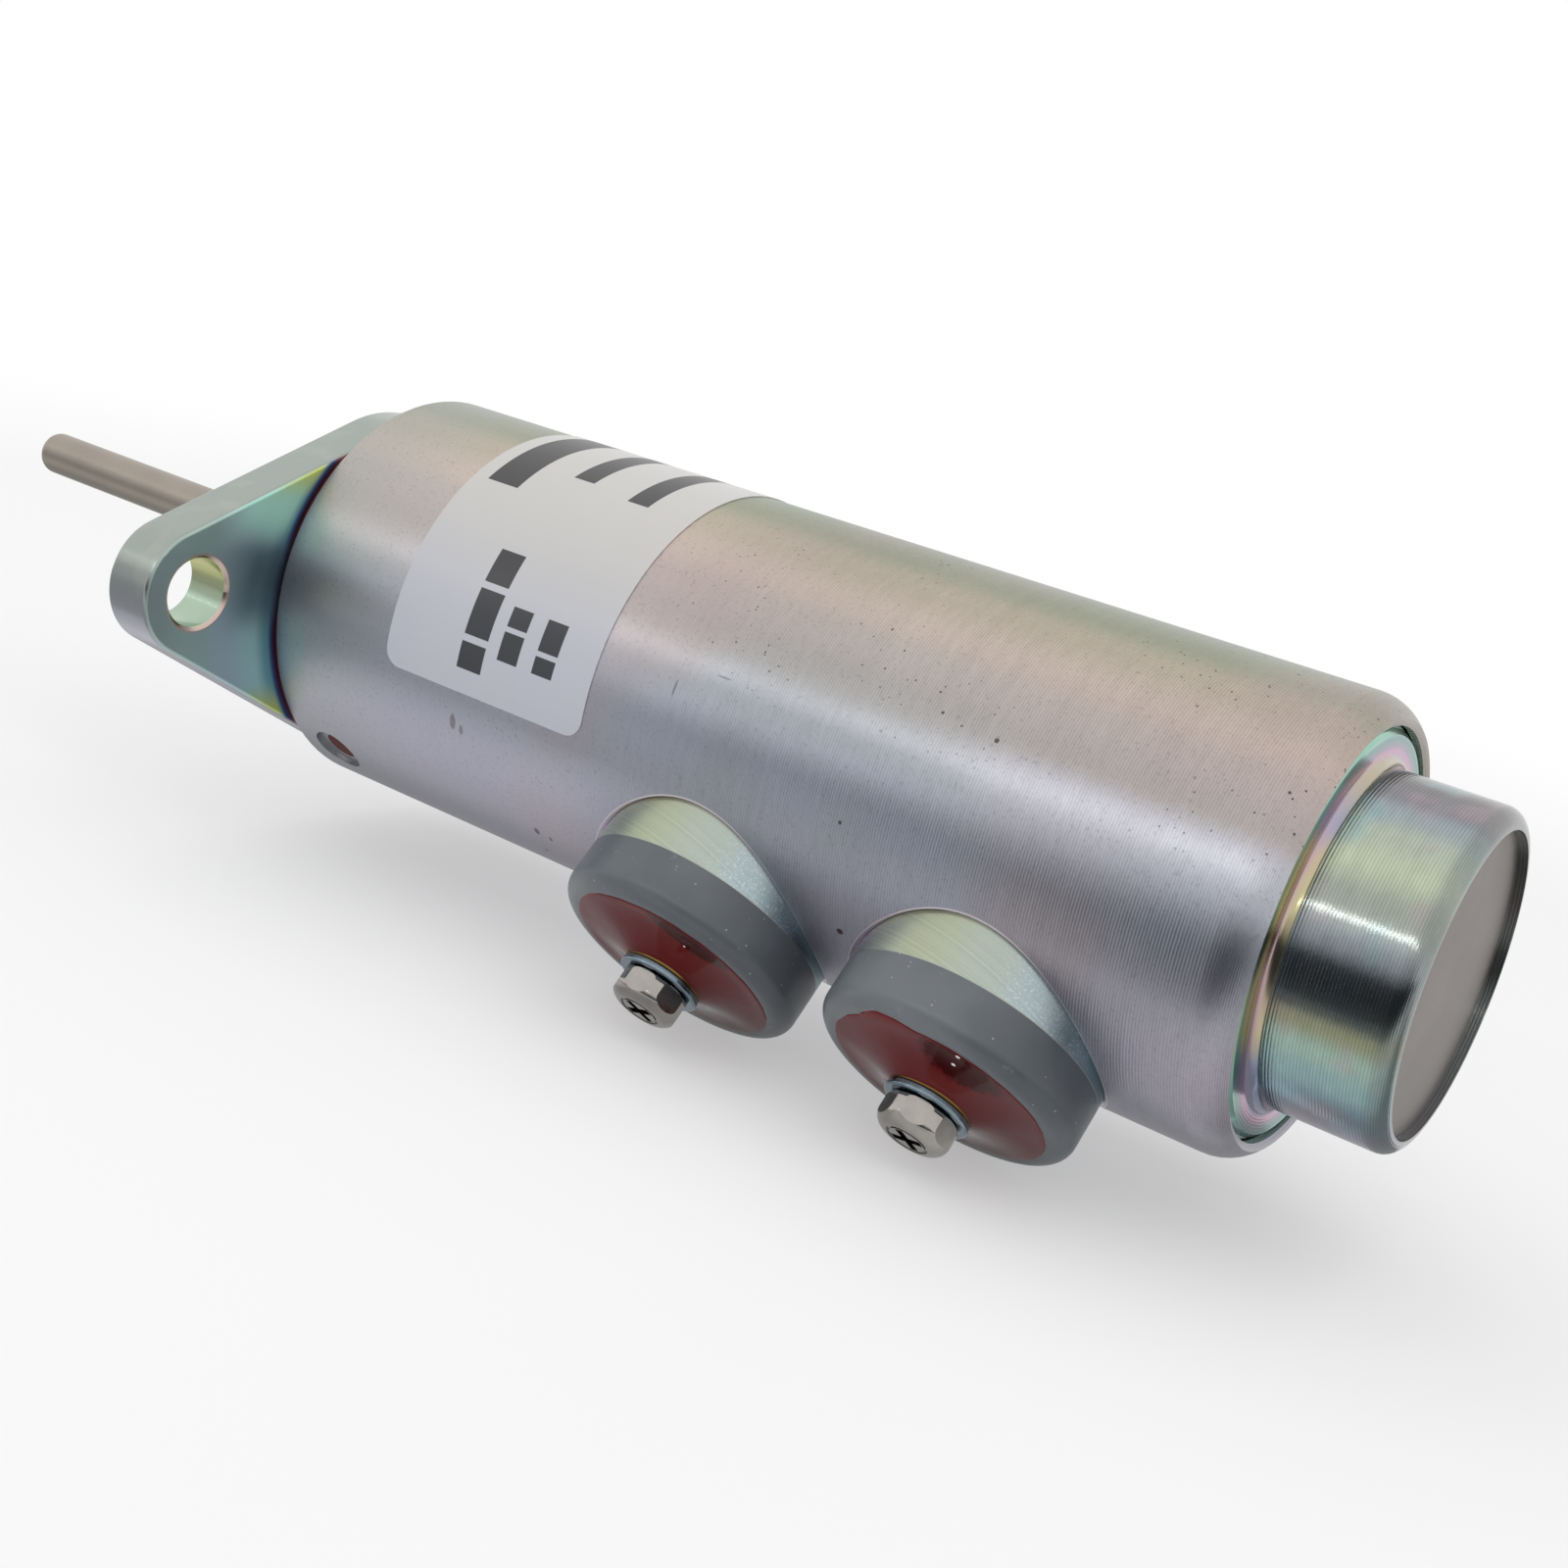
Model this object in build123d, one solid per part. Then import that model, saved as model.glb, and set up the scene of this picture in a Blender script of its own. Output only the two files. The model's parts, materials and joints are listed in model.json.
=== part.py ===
from build123d import *
from math import cos, radians, sin, sqrt
import os

# A flange-mounted pull solenoid. The origin is the centre of the flange's mounting face. X runs along
# the body towards the rear cap, the push rod points along -X, the flange's ears lie along Y, and Z is
# up. All sizes are in millimetres.

# Mounting flange
flange_thickness = 6.6
bolt_spacing = 76.0
bolt_hole_radius = 4.2
bolt_hole_chamfer = 0.45
ear_radius = 7.75
flange_height = 44.4
crest_width = 16.2
crest_blend = 17.0
flange_edge_round = 0.5
spigot_length = 12.0

# Shell, rolled over the end cap at the rear
body_radius = 25.4
shell_length = 130.0
shell_wall = 2.0
shell_round = 5.2
shell_front_chamfer = 0.35
lip_width = 2.55
lip_setback = 2.6

# End cap with its cup, and the disc in the cup's mouth
cap_plate_thickness = 10.0
cap_edge_chamfer = 0.8
cap_floor_thickness = 7.7
cup_radius = 18.48
cup_length = 14.9
cup_bore_radius = 15.4
cup_round = 1.9
cup_root_fillet = 1.4
disc_radius = 16.45
disc_thickness = 1.3
disc_recess = 1.1

# Push rod
rod_radius = 3.0
rod_reach = 69.4
rod_tip_round = 1.4
rod_tail_chamfer = 0.4

# Rod bushing, wiper seal and front bumper
bushing_wall = 2.5
seal_wall = 3.5
seal_length = 3.9
seal_recess = 0.4
bumper_thickness = 2.5

# Plunger and fixed core
plunger_radius = 11.0
plunger_length = 50.0
plunger_chamfer = 0.8
stroke = 25.0
cross_pin_radius = 1.25
cross_pin_offset = 12.0
cross_pin_length = 20.5
guide_tube_wall = 0.9
tube_seat_depth = 2.0
stop_washer_thickness = 0.5
core_shank_radius = 7.0

# Return spring, round the rod between the plunger and the core
return_wire_radius = 0.6
return_mean_radius = 4.7
return_turns = 8
spring_pocket_radius = 6.0
plunger_pocket_depth = 12.0
core_pocket_depth = 8.0

# Windings and insulation
bobbin_wall = 1.0
bobbin_flange_thickness = 1.8
hold_in_share = 0.456
interlayer_thickness = 0.3
wrap_thickness = 0.4
washer_thickness = 0.5
lead_space = 1.3
lead_depth = 2.67

# O-rings between the shell and its two end pieces
o_ring_section = 2.0
o_ring_groove_width = 2.4
front_groove_offset = 1.2
rear_groove_offset = 3.0

# Terminals
terminal_angle = 48.0
terminal_pitch = 35.1
terminal_rear_distance = 29.6
boss_radius = 14.95
boss_rise = 0.85
boss_hole_chamfer = 0.45
insulator_radius = 14.95
insulator_thickness = 6.3
insulator_round = 2.1
insulator_neck_radius = 8.0
insulator_neck_length = 4.4
compound_radius = 12.4
compound_depth = 4.0
compound_rise = 1.45
compound_sag = 0.35
post_radius = 3.7
post_collar_radius = 4.8
post_collar_thickness = 0.6
terminal_washer_radius = 4.9
terminal_washer_thickness = 0.9
terminal_washer_round = 0.25

# Terminal screws
screw_thread_radius = 2.5
screw_thread_length = 8.0
screw_hole_spare = 1.5
hex_across_flats = 7.8
screw_head_radius = 4.2
screw_head_height = 3.55
screw_head_round = 1.6
screw_head_seat_round = 0.7
screw_groove_radius = 2.45
screw_groove_width = 0.35
screw_groove_depth = 0.2
cross_length = 3.9
cross_width = 0.95
cross_depth = 1.4

# Copper strips between the terminals, the windings and the switch
strip_width = 3.0
strip_thickness = 0.75
tail_width = 2.0
strip_end_margin = 3.0

# Cut-out switch in the cup
switch_base_thickness = 5.0
contact_offset = 13.2
contact_stem_radius = 1.2
contact_head_radius = 1.5
contact_head_thickness = 0.8
wire_hole_radius = 1.6
bridge_half_length = 14.8
bridge_width = 6.0
bridge_thickness = 0.8
switch_travel = 1.6
switch_pin_radius = 1.5
switch_pin_reach = 9.5
switch_pin_tail = 4.2
switch_collar_radius = 2.6
contact_wire_radius = 0.3
contact_mean_radius = 2.6
contact_turns = 4

# Lock screw that holds the shell on the spigot, under its sealing compound
lock_position = 13.0
lock_screw_radius = 2.0
lock_screw_length = 8.3
lock_flat_depth = 0.8
lock_flat_radius = 3.3
lock_socket_width = 2.0
lock_socket_depth = 2.0
sealant_thickness = 0.7
sealant_crown = 0.15

# Label
label_start = 25.5
label_width = 30.0
label_lower_angle = -7.0
label_upper_angle = 115.0
label_thickness = 0.12
label_corner_radius = 2.2

# Clearances: a press or slip fit, a running fit, a loose hole, a layer of winding, and faces that meet
fit_gap = 0.03
running_gap = 0.05
plunger_gap = 0.08
loose_gap = 0.4
layer_gap = 0.05
face_gap = 0.05

# Places and sizes that follow from the ones above
shell_bore = body_radius - shell_wall
shell_end = flange_thickness + shell_length
lip_inner_radius = body_radius - lip_width
spigot_radius = shell_bore - fit_gap
spigot_end = flange_thickness + spigot_length
tube_seat = spigot_end - tube_seat_depth

cap_face = shell_end - lip_setback
cap_front = cap_face - cap_plate_thickness
cup_floor = cap_front + cap_floor_thickness
cup_end = cap_face + cup_length
disc_face = cup_end - disc_recess
disc_back = disc_face - disc_thickness

tube_bore = plunger_radius + plunger_gap
tube_radius = tube_bore + guide_tube_wall
bumper_end = tube_seat + bumper_thickness
plunger_front = bumper_end + face_gap
plunger_rear = plunger_front + plunger_length
stop_face = plunger_rear + stroke + face_gap
core_front = stop_face + stop_washer_thickness
core_bore = rod_radius + loose_gap

bobbin_front = spigot_end + washer_thickness + 2 * face_gap
bobbin_rear = cap_front - lead_space - washer_thickness - face_gap
bobbin_bore = tube_radius + layer_gap
hold_in_bore = bobbin_bore + bobbin_wall + layer_gap
wrap_radius = shell_bore - lead_depth
pull_in_radius = wrap_radius - wrap_thickness - layer_gap
winding_room = pull_in_radius - hold_in_bore - interlayer_thickness - 2 * layer_gap
hold_in_depth = hold_in_share * winding_room
pull_in_depth = winding_room - hold_in_depth
hold_in_radius = hold_in_bore + hold_in_depth
interlayer_radius = hold_in_radius + layer_gap + interlayer_thickness
winding_front = bobbin_front + bobbin_flange_thickness + face_gap
winding_rear = bobbin_rear - bobbin_flange_thickness - face_gap

terminal_2_position = shell_end - terminal_rear_distance
terminal_positions = (terminal_2_position - terminal_pitch, terminal_2_position)
boss_face_height = body_radius + boss_rise
insulator_face_height = boss_face_height + insulator_thickness
compound_top = insulator_face_height + compound_rise
collar_top = compound_top + post_collar_thickness
screw_seat = collar_top + terminal_washer_thickness
strip_height = wrap_radius + face_gap
post_foot = strip_height + strip_thickness + face_gap

lock_flat_height = body_radius - lock_flat_depth

switch_base_rear = cup_floor + switch_base_thickness
bridge_front = switch_base_rear + contact_head_thickness + face_gap
bridge_rear = bridge_front + bridge_thickness
switch_pin_front = switch_base_rear - switch_pin_reach
rod_tail = switch_pin_front - (stroke - switch_travel) - face_gap

outward = Vector(0, -cos(radians(terminal_angle)), -sin(radians(terminal_angle)))


# Helpers for turned pieces: a profile is drawn as (place along X, radius) and turned about X
def profile(*points):
    return make_face(Polyline(*points, close=True))


def rounded(face, corner, radius):
    """The profile with its corner nearest to the given point rounded."""
    nearest = min(face.vertices(), key=lambda v: (Vector(v) - Vector(*corner)).length)
    return fillet(nearest, radius)


def turned(face):
    return revolve(face, Axis.X)


def ring(start, end, bore, radius):
    return turned(profile((start, bore), (end, bore), (end, radius), (start, radius)))


def rod(start, end, radius):
    return ring(start, end, 0, radius)


def terminal_frame(position):
    """The frame of a terminal: X points out of the body along the terminal, Z along the body."""
    return Plane(origin=(position, 0, 0), x_dir=outward, z_dir=(1, 0, 0))


def radial(position, solid):
    """A solid drawn in a terminal's frame, put in its place along the body."""
    return terminal_frame(position) * solid


def coil_spring(start, end, turns, mean_radius, wire_radius):
    """An open compression spring whose end turns touch both seats."""
    length = end - start - 2 * wire_radius
    seat = (start + wire_radius, 0, 0)
    path = Helix(length / turns, length, mean_radius, center=seat, direction=(1, 0, 0))
    wire = Plane(origin=path @ 0, z_dir=path % 0) * Circle(wire_radius)
    return sweep(wire, path=path)


# Mounting flange
def flange_outline():
    """Two round ears joined by straight flanks to a flat crest above and below the body's axis."""
    crest = Rectangle(crest_width, flange_height)
    ears = [Pos(side * bolt_spacing / 2, 0) * Circle(ear_radius) for side in (-1, 1)]
    outline = make_hull([*crest.edges(), *ears[0].edges(), *ears[1].edges()])
    corners = [v for v in outline.vertices() if abs(v.Y) > flange_height / 2 - face_gap]
    return fillet(corners, crest_blend)


def mounting_flange():
    plate = extrude(Plane.YZ * flange_outline(), flange_thickness)
    plate = fillet(plate.faces().filter_by(Axis.X).edges(), flange_edge_round)
    flange = plate + rod(flange_thickness, spigot_end, spigot_radius)
    for side in (-1, 1):
        hole = turned(
            profile(
                (0, 0),
                (0, bolt_hole_radius + bolt_hole_chamfer),
                (bolt_hole_chamfer, bolt_hole_radius),
                (flange_thickness - bolt_hole_chamfer, bolt_hole_radius),
                (flange_thickness, bolt_hole_radius + bolt_hole_chamfer),
                (flange_thickness, 0),
            )
        )
        flange -= Pos(0, side * bolt_spacing / 2, 0) * hole
    flange -= rod(0, seal_length + seal_recess, rod_radius + seal_wall + fit_gap)
    flange -= rod(0, tube_seat, rod_radius + bushing_wall + fit_gap)
    flange -= rod(tube_seat, spigot_end, tube_radius + fit_gap)
    flange -= o_ring_groove(flange_thickness + front_groove_offset)
    lock_hole = rod(lock_screw_foot() - face_gap, body_radius, lock_screw_radius + fit_gap)
    return flange - radial(lock_position, lock_hole)


def lock_screw_foot():
    return lock_flat_height - sealant_thickness - lock_screw_length


def o_ring_groove(start):
    return ring(start, start + o_ring_groove_width, shell_bore - o_ring_section - layer_gap, body_radius)


def o_ring(groove_start):
    """A ring of round rubber, lightly clear of the groove's floor and the shell's bore."""
    centre = (groove_start + o_ring_groove_width / 2, shell_bore - layer_gap / 2 - o_ring_section / 2)
    return revolve(Pos(*centre) * Circle(o_ring_section / 2 - layer_gap / 2), Axis.X)


# Shell
def body_shell():
    """A tube with a generous rear round, whose lip is rolled in over the end cap."""
    front = flange_thickness
    bar = profile((front, 0), (shell_end, 0), (shell_end, body_radius), (front, body_radius))
    shell = turned(rounded(bar, (shell_end, body_radius), shell_round))
    shell = chamfer(shell.faces().sort_by(Axis.X)[0].edges(), shell_front_chamfer)
    shell -= rod(front, cap_face + face_gap, shell_bore)
    shell -= rod(front, shell_end, lip_inner_radius)
    for position in terminal_positions:
        shell -= radial(position, rod(0, 2 * body_radius, boss_radius + layer_gap))
        rims = shell.edges().filter_by(lambda e: on_terminal_rim(e, position))
        shell = chamfer(rims, boss_hole_chamfer)
    shell -= radial(lock_position, rod(0, 2 * body_radius, lock_screw_radius + 2 * running_gap))
    shell -= radial(lock_position, rod(lock_flat_height, 2 * body_radius, lock_flat_radius))
    return shell


def on_terminal_rim(edge, position):
    """Whether an edge is where a terminal's hole breaks through the outside of the shell."""
    place = edge.position_at(0.3)
    from_axis = sqrt(place.Y**2 + place.Z**2)
    across = (place - Vector(position, 0, 0)).cross(outward).length
    return abs(from_axis - body_radius) < face_gap and abs(across - boss_radius - layer_gap) < face_gap


# End cap and disc
def end_cap():
    """The rear plate and its cup, turned as one piece."""
    outline = profile(
        (cap_front, core_shank_radius + fit_gap),
        (cap_front, shell_bore - fit_gap),
        (cap_face - cap_edge_chamfer, shell_bore - fit_gap),
        (cap_face, shell_bore - fit_gap - cap_edge_chamfer),
        (cap_face, cup_radius),
        (cup_end, cup_radius),
        (cup_end, disc_radius + fit_gap),
        (disc_back, disc_radius + fit_gap),
        (disc_back, cup_bore_radius),
        (cup_floor, cup_bore_radius),
        (cup_floor, core_shank_radius + fit_gap),
    )
    outline = rounded(outline, (cup_end, cup_radius), cup_round)
    outline = rounded(outline, (cap_face, cup_radius), cup_root_fillet)
    cap = turned(outline)
    cap -= o_ring_groove(cap_front + rear_groove_offset)
    for side in (-1, 1):
        cap -= beside_pin(side, rod(cap_front, cup_floor, wire_hole_radius))
    return cap


def beside_pin(side, solid):
    """A solid drawn about the body's axis, moved out to a fixed contact, in line with the terminals."""
    return Pos(*(outward * (side * contact_offset))) * solid


def end_disc():
    return rod(disc_back, disc_face, disc_radius)


# Rod guide and seal
def rod_bushing():
    start = seal_length + seal_recess + face_gap
    return ring(start, tube_seat, rod_radius + running_gap, rod_radius + bushing_wall)


def rod_wiper_seal():
    """A rubber ring whose front face falls away from the rod to a lip."""
    end = seal_recess + seal_length
    lip = rod_radius + running_gap
    return turned(
        profile(
            (seal_recess, lip + seal_wall / 2),
            (seal_recess, rod_radius + seal_wall),
            (end, rod_radius + seal_wall),
            (end, lip),
            (seal_recess + seal_length / 4, lip),
        )
    )


def front_bumper():
    return ring(tube_seat, bumper_end, core_bore, tube_bore - loose_gap)


# Moving parts
def push_rod():
    """The rod passes through the plunger and on through the core to the switch pin."""
    outline = profile((-rod_reach, 0), (rod_tail, 0), (rod_tail, rod_radius), (-rod_reach, rod_radius))
    outline = rounded(outline, (-rod_reach, rod_radius), rod_tip_round)
    solid = turned(outline)
    solid = chamfer(solid.faces().sort_by(Axis.X)[-1].edges(), rod_tail_chamfer)
    return solid - cross_pin_hole()


def cross_pin_hole():
    hole = Cylinder(cross_pin_radius + fit_gap, 3 * plunger_radius)
    return Pos(plunger_front + cross_pin_offset, 0, 0) * hole


def plunger():
    solid = rod(plunger_front, plunger_rear, plunger_radius)
    solid = chamfer(solid.edges(), plunger_chamfer)
    solid -= rod(plunger_front, plunger_rear, rod_radius + fit_gap)
    solid -= rod(plunger_rear - plunger_pocket_depth, plunger_rear, spring_pocket_radius)
    return solid - cross_pin_hole()


def plunger_cross_pin():
    return Pos(plunger_front + cross_pin_offset, 0, 0) * Cylinder(cross_pin_radius, cross_pin_length)


def return_spring():
    start = plunger_rear - plunger_pocket_depth
    end = core_front + core_pocket_depth
    return coil_spring(start, end, return_turns, return_mean_radius, return_wire_radius)


# Magnetic circuit and windings
def guide_tube():
    return ring(tube_seat, cap_front - face_gap, tube_bore, tube_radius)


def rear_core():
    """The fixed pole, with a pocket for the spring and a shank pressed into the end cap."""
    body = rod(core_front, cap_front, plunger_radius) + rod(cap_front, cup_floor, core_shank_radius)
    body -= rod(core_front, cup_floor, core_bore)
    return body - rod(core_front, core_front + core_pocket_depth, spring_pocket_radius)


def stop_washer():
    return ring(stop_face, core_front, spring_pocket_radius, plunger_radius - plunger_chamfer)


def winding_bobbin():
    outline = profile(
        (bobbin_front, bobbin_bore),
        (bobbin_rear, bobbin_bore),
        (bobbin_rear, wrap_radius),
        (bobbin_rear - bobbin_flange_thickness, wrap_radius),
        (bobbin_rear - bobbin_flange_thickness, bobbin_bore + bobbin_wall),
        (bobbin_front + bobbin_flange_thickness, bobbin_bore + bobbin_wall),
        (bobbin_front + bobbin_flange_thickness, wrap_radius),
        (bobbin_front, wrap_radius),
    )
    return turned(outline)


def winding_layer(depth, outer_radius):
    return ring(winding_front, winding_rear, outer_radius - depth, outer_radius)


def insulating_washer(start):
    return ring(start, start + washer_thickness, bobbin_bore, wrap_radius)


def hexagon_bar(start, end, across_flats):
    hexagon = Plane.YZ * RegularPolygon(across_flats / 2, 6, major_radius=False)
    return extrude(Pos(start, 0, 0) * hexagon, end - start)


# Terminals, each drawn in its own frame
def terminal_boss():
    """A short steel tube, cut at its foot to the curve of the shell's bore."""
    boss = ring(0, boss_face_height, insulator_neck_radius + fit_gap, boss_radius)
    return boss - Cylinder(shell_bore, 4 * body_radius)


def terminal_insulator():
    """A shallow cup of plastic with a neck that passes through the boss."""
    foot = boss_face_height - insulator_neck_length
    floor = insulator_face_height - compound_depth
    outline = profile(
        (foot, post_radius + fit_gap),
        (foot, insulator_neck_radius),
        (boss_face_height, insulator_neck_radius),
        (boss_face_height, insulator_radius),
        (insulator_face_height, insulator_radius),
        (insulator_face_height, compound_radius),
        (floor, compound_radius),
        (floor, post_radius + fit_gap),
    )
    return turned(rounded(outline, (insulator_face_height, insulator_radius), insulator_round))


def terminal_compound():
    """Sealing compound that fills the cup and climbs to the collar of the post."""
    floor = insulator_face_height - compound_depth
    inner = post_radius + fit_gap
    shoulder = post_collar_radius - fit_gap
    middle_height = (insulator_face_height + compound_top) / 2 - compound_sag
    surface = ThreePointArc(
        (insulator_face_height, compound_radius),
        (middle_height, (compound_radius + shoulder) / 2),
        (compound_top, shoulder),
    )
    edges = Polyline(
        (compound_top, shoulder),
        (compound_top, inner),
        (floor, inner),
        (floor, compound_radius),
        (insulator_face_height, compound_radius),
    )
    return turned(make_face(surface + edges))


def terminal_post():
    """A brass post with a collar, tapped for the screw."""
    post = rod(post_foot, collar_top, post_radius) + rod(compound_top, collar_top, post_collar_radius)
    hole_end = screw_seat - screw_thread_length - screw_hole_spare
    return post - rod(hole_end, collar_top, screw_thread_radius + fit_gap)


def terminal_washer():
    washer = ring(collar_top, screw_seat, screw_thread_radius + running_gap, terminal_washer_radius)
    rims = washer.edges().group_by(SortBy.LENGTH)[-1]
    return fillet(rims, terminal_washer_round)


def terminal_screw():
    """A machine screw with a crowned hexagon head, a ring groove and a cross recess."""
    head_top = screw_seat + screw_head_height
    rim = screw_head_radius
    outline = profile((screw_seat, 0), (head_top, 0), (head_top, rim), (screw_seat, rim))
    outline = rounded(outline, (head_top, rim), screw_head_round)
    head = turned(rounded(outline, (screw_seat, rim), screw_head_seat_round))
    head &= hexagon_bar(screw_seat, head_top, hex_across_flats)
    groove_inner = screw_groove_radius - screw_groove_width
    head -= ring(head_top - screw_groove_depth, head_top, groove_inner, screw_groove_radius)
    centre = (head_top - cross_depth / 2, 0, 0)
    head -= Pos(*centre) * Box(cross_depth, cross_length, cross_width)
    head -= Pos(*centre) * Box(cross_depth, cross_width, cross_length)
    return head + rod(screw_seat - screw_thread_length, screw_seat, screw_thread_radius)


# Copper strips, drawn in the frame of the terminals
def bar_between(low, high, width):
    """A flat bar between two corners given as (height from the axis, place along the body)."""
    size = (high[0] - low[0], width, high[1] - low[1])
    return Pos(low[0], -width / 2, low[1]) * Box(*size, align=Align.MIN)


def terminal_1_lead():
    low = (strip_height, winding_front)
    high = (strip_height + strip_thickness, terminal_positions[0] + strip_end_margin)
    return radial(0, bar_between(low, high, strip_width))


def lead_through_cap(start_height):
    """A tail that turns in behind the winding and goes through the end cap to a fixed contact."""
    turn = cap_front - (lead_space + strip_thickness) / 2
    inner = contact_offset - strip_thickness / 2
    inward = bar_between((inner, turn), (start_height, turn + strip_thickness), tail_width)
    through = bar_between((inner, turn), (inner + strip_thickness, cup_floor), tail_width)
    return inward + through


def terminal_2_lead():
    low = (strip_height, terminal_positions[1] - strip_end_margin)
    high = (strip_height + strip_thickness, cap_front - (lead_space - strip_thickness) / 2)
    return radial(0, bar_between(low, high, strip_width) + lead_through_cap(high[0]))


def switch_return_lead():
    return radial(0, Rot(0, 0, 180) * lead_through_cap(pull_in_radius))


# Cut-out switch
def switch_base():
    base = ring(cup_floor, switch_base_rear, switch_pin_radius + running_gap, cup_bore_radius - layer_gap)
    for side in (-1, 1):
        base -= beside_pin(side, rod(cup_floor, switch_base_rear, contact_stem_radius + fit_gap))
    return base


def fixed_contact(side):
    """A copper rivet with a flat head, one on each side of the switch pin."""
    stem = rod(cup_floor, switch_base_rear, contact_stem_radius)
    head = rod(switch_base_rear, switch_base_rear + contact_head_thickness, contact_head_radius)
    return beside_pin(side, stem + head)


def switch_pin():
    """An insulating pin with a collar that lifts the bridge off the fixed contacts."""
    collar_front = switch_base_rear + face_gap
    pin = rod(switch_pin_front, bridge_rear + switch_pin_tail, switch_pin_radius)
    return pin + rod(collar_front, bridge_front - face_gap, switch_collar_radius)


def contact_bridge():
    low = (-bridge_half_length, bridge_front)
    high = (bridge_half_length, bridge_rear)
    bridge = bar_between(low, high, bridge_width)
    bridge = fillet(bridge.edges().filter_by(Axis.Z), bridge_width / 3)
    return radial(0, bridge) - rod(bridge_front, bridge_rear, switch_pin_radius + fit_gap)


def contact_spring():
    return coil_spring(bridge_rear, disc_back, contact_turns, contact_mean_radius, contact_wire_radius)


# Lock screw and label
def lock_screw():
    foot = lock_screw_foot()
    top = foot + lock_screw_length
    socket = hexagon_bar(top - lock_socket_depth, top, lock_socket_width)
    return rod(foot, top, lock_screw_radius) - socket


def lock_screw_sealant():
    """A low drop of compound over the screw, in the shell's hole and flat."""
    foot = lock_flat_height - sealant_thickness
    top = lock_flat_height + sealant_crown
    radius = lock_screw_radius + running_gap
    crown_radius = (radius**2 + sealant_crown**2) / (2 * sealant_crown)
    return rod(foot, top, radius) & Pos(top - crown_radius, 0, 0) * Sphere(crown_radius)


def label():
    """A film wrapped round the shell, from just under its near side to past its top."""
    strip = profile(
        (label_start, body_radius),
        (label_start + label_width, body_radius),
        (label_start + label_width, body_radius + label_thickness),
        (label_start, body_radius + label_thickness),
    )
    film = revolve(strip, Axis.X, label_upper_angle - label_lower_angle)
    corners = film.edges().group_by(SortBy.LENGTH)[0]
    film = fillet(corners, label_corner_radius)
    return Rot(180 - label_upper_angle, 0, 0) * film


def parts():
    """Every piece by name."""
    pieces = {
        "mounting_flange": mounting_flange(),
        "body_shell": body_shell(),
        "end_cap": end_cap(),
        "end_disc": end_disc(),
        "label": label(),
        "lock_screw": radial(lock_position, lock_screw()),
        "lock_screw_sealant": radial(lock_position, lock_screw_sealant()),
        "rod_bushing": rod_bushing(),
        "rod_wiper_seal": rod_wiper_seal(),
        "front_o_ring": o_ring(flange_thickness + front_groove_offset),
        "end_cap_o_ring": o_ring(cap_front + rear_groove_offset),
        "front_bumper": front_bumper(),
        "guide_tube": guide_tube(),
        "winding_bobbin": winding_bobbin(),
        "hold_in_winding": winding_layer(hold_in_depth, hold_in_radius),
        "winding_interlayer": winding_layer(interlayer_thickness, interlayer_radius),
        "pull_in_winding": winding_layer(pull_in_depth, pull_in_radius),
        "winding_wrap": winding_layer(wrap_thickness, wrap_radius),
        "front_insulating_washer": insulating_washer(spigot_end + face_gap),
        "rear_insulating_washer": insulating_washer(bobbin_rear + face_gap),
        "rear_core": rear_core(),
        "stop_washer": stop_washer(),
        "switch_base": switch_base(),
        "fixed_contact_a": fixed_contact(1),
        "fixed_contact_b": fixed_contact(-1),
        "terminal_1_lead": terminal_1_lead(),
        "terminal_2_lead": terminal_2_lead(),
        "switch_return_lead": switch_return_lead(),
        "push_rod": push_rod(),
        "plunger": plunger(),
        "plunger_cross_pin": plunger_cross_pin(),
        "return_spring": return_spring(),
        "switch_pin": switch_pin(),
        "contact_bridge": contact_bridge(),
        "contact_spring": contact_spring(),
    }
    terminal_pieces = {
        "boss": terminal_boss(),
        "insulator": terminal_insulator(),
        "compound": terminal_compound(),
        "post": terminal_post(),
        "washer": terminal_washer(),
        "screw": terminal_screw(),
    }
    for number, position in enumerate(terminal_positions, start=1):
        for piece, solid in terminal_pieces.items():
            pieces[f"terminal_{number}_{piece}"] = radial(position, solid)
    return pieces


os.makedirs("parts", exist_ok=True)
for name, solid in parts().items():
    export_step(solid, f"parts/{name}.step")
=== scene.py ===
import bpy
import bmesh
import json
from math import cos, degrees, pi, radians, sin, sqrt
from mathutils import Matrix, Vector, noise

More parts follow.
